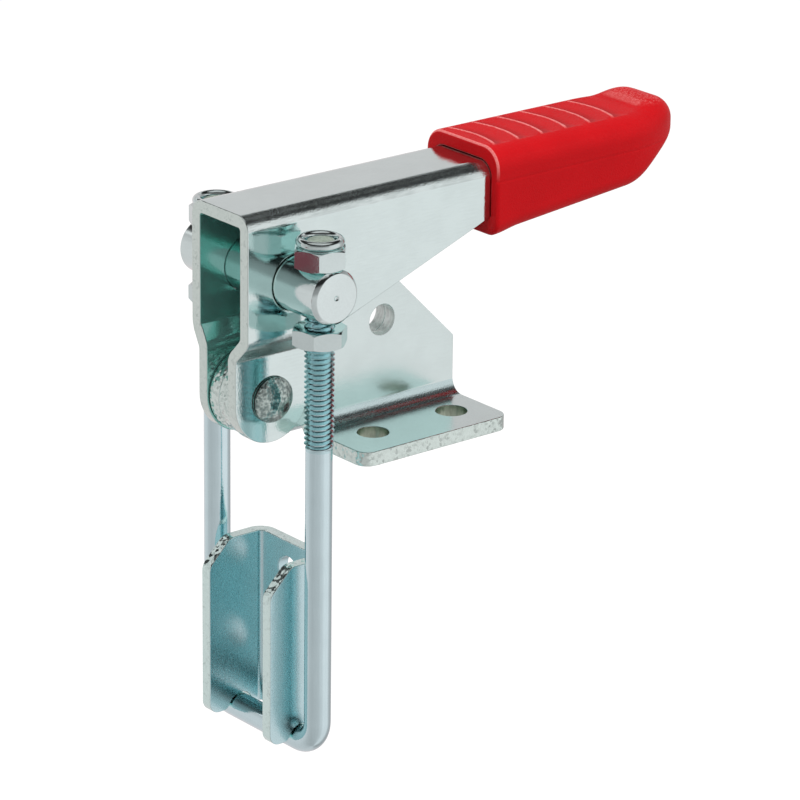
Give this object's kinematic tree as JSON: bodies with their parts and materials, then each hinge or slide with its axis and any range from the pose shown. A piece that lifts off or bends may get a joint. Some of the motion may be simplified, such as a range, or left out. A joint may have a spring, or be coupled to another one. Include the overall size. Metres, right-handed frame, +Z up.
{
  "type": "over centre toggle latch",
  "caption": "Vertical over centre toggle latch: a folded lever with a moulded grip pulls a U-bolt up over a hook-shaped catch plate.",
  "frame": {"origin": "centre of the four base holes, on the mounting face under the base flanges", "axes": "+X along the flanges towards the hand grip, +Z up from the mounting face along the base bolts, Y across the latch, which is the same on both sides of Y = 0"},
  "size_m": [0.1547, 0.0588, 0.1578],
  "materials": {
    "zinc_sheet": "zinc plated sheet, bright",
    "rivet_steel": "zinc plated, slightly mottled",
    "lever_steel": "zinc plated sheet, bright",
    "red_grip": "moulded, satin gloss with a fine grain",
    "turned_steel": "zinc plated bar, faint turning lines",
    "threaded_steel": "zinc plated rod with rolled threads",
    "nut_steel": "zinc plated, bright",
    "nylon": "translucent nylon",
    "catch_steel": "zinc plated sheet, bright"
  },
  "bodies": {
    "base": {"base_plate_near": "zinc_sheet", "base_plate_far": "zinc_sheet", "pivot_rivet": "rivet_steel"},
    "lever": {"lever_channel": "lever_steel", "hand_grip": "red_grip"},
    "u_bolt": {"cross_bar": "turned_steel", "u_bolt": "threaded_steel", "lock_nut_near": "nut_steel", "lock_nut_far": "nut_steel", "nylon_ring_near": "nylon", "nylon_ring_far": "nylon", "plain_nut_near": "nut_steel", "plain_nut_far": "nut_steel", "catch_plate": "catch_steel"}
  },
  "joints": [
    {"name": "lever_pivot", "type": "hinge", "parent": "base", "child": "lever", "pos_m": [-0.041, 0, 0.017], "axis": [0, -1, 0], "range_deg": [0, 170]},
    {"name": "u_bolt_swing", "type": "hinge", "parent": "lever", "child": "u_bolt", "pos_m": [-0.0365, 0, 0.0494], "axis": [0, -1, 0], "range_deg": [-170, 0]}
  ],
  "couplings": [
    {"joint": "u_bolt_swing", "follows": "lever_pivot", "ratio": -1}
  ]
}
